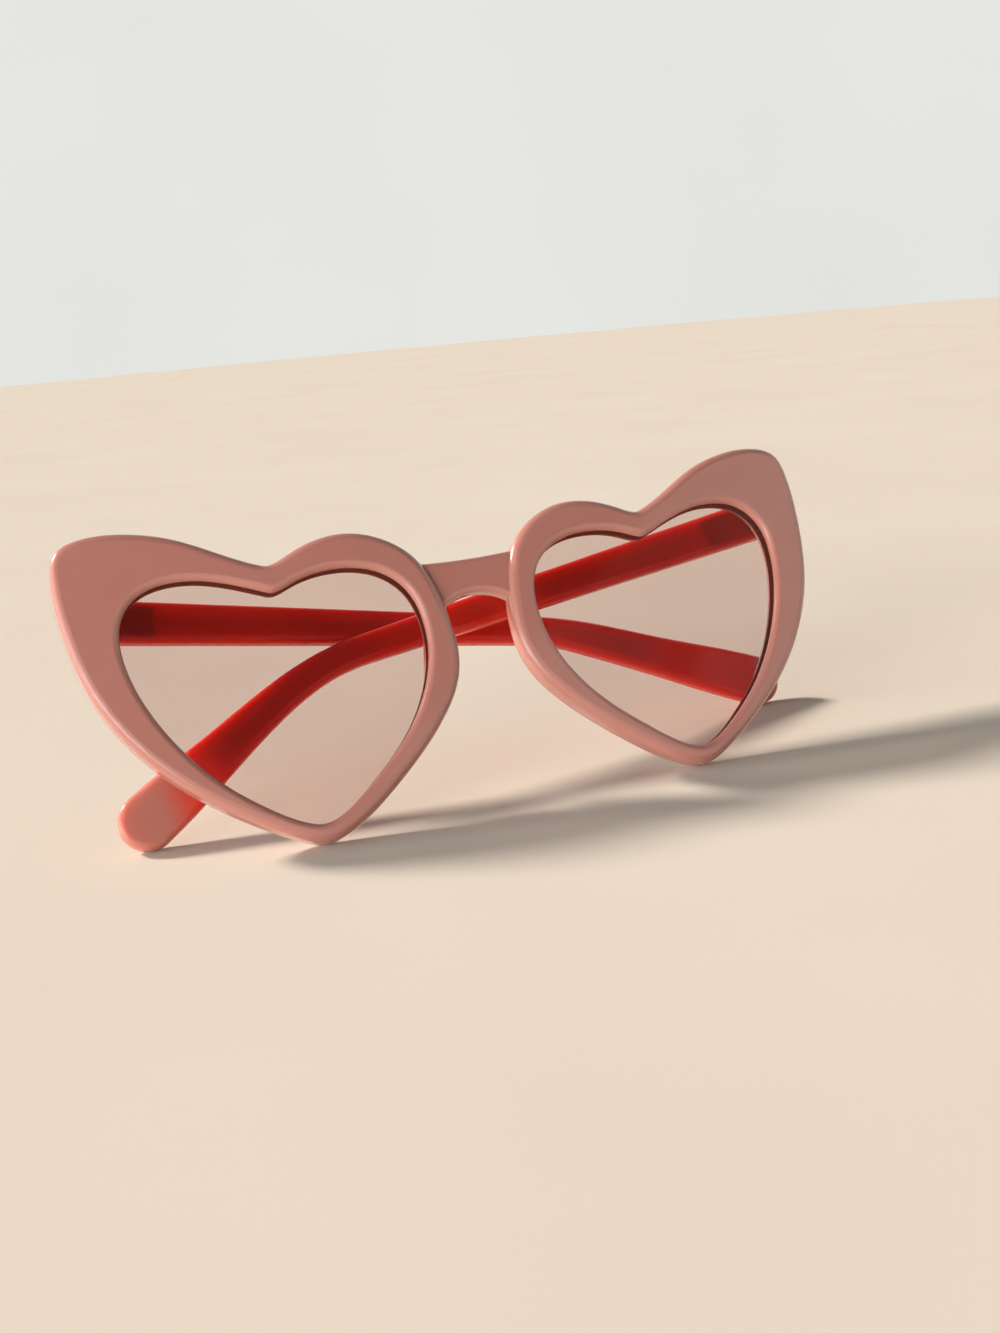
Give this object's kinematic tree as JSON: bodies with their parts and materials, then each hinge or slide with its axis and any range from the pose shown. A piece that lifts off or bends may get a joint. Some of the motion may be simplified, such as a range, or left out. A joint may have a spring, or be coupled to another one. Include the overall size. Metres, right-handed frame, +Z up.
{
  "type": "heart shaped sunglasses",
  "caption": "Folding sunglasses with a bowed front of thick heart shaped rims, tinted lenses, a low bridge and round tipped temples on barrel hinges, standing folded.",
  "frame": {"origin": "on the ground under the middle of the folded, standing sunglasses", "axes": "+X to the viewer's right across the front, which is the wearer's left; +Y to the back; +Z up"},
  "size_m": [0.1454, 0.0392, 0.054],
  "materials": {
    "front_plastic": "polished dusty pink",
    "temple_plastic": "polished dusty pink",
    "lens": "clear pale pink tint",
    "nose_pad": "polished dusty pink",
    "hinge_metal": "satin",
    "screw_metal": "bright",
    "washer": "natural",
    "core_wire": "drawn"
  },
  "bodies": {
    "front": {"front_frame": "front_plastic", "left_lens": "lens", "left_nose_pad": "nose_pad", "left_front_hinge_leaf": "hinge_metal", "left_front_leaf_screws": "screw_metal", "left_hinge_screw": "screw_metal", "left_hinge_washers": "washer", "right_lens": "lens", "right_nose_pad": "nose_pad", "right_front_hinge_leaf": "hinge_metal", "right_front_leaf_screws": "screw_metal", "right_hinge_screw": "screw_metal", "right_hinge_washers": "washer"},
    "left_temple_arm": {"left_temple": "temple_plastic", "left_core_wire": "core_wire", "left_temple_hinge_leaf": "hinge_metal", "left_temple_leaf_screws": "screw_metal"},
    "right_temple_arm": {"right_temple": "temple_plastic", "right_core_wire": "core_wire", "right_temple_hinge_leaf": "hinge_metal", "right_temple_leaf_screws": "screw_metal"}
  },
  "joints": [
    {"name": "left_temple_hinge", "type": "hinge", "parent": "front", "child": "left_temple_arm", "pos_m": [0.066, 0.01167, 0.03997], "axis": [0, -0.4695, -0.8829], "range_deg": [0, 90.8]},
    {"name": "right_temple_hinge", "type": "hinge", "parent": "front", "child": "right_temple_arm", "pos_m": [-0.066, 0.01167, 0.03997], "axis": [0, 0.4695, 0.8829], "range_deg": [0, 85.5]}
  ]
}
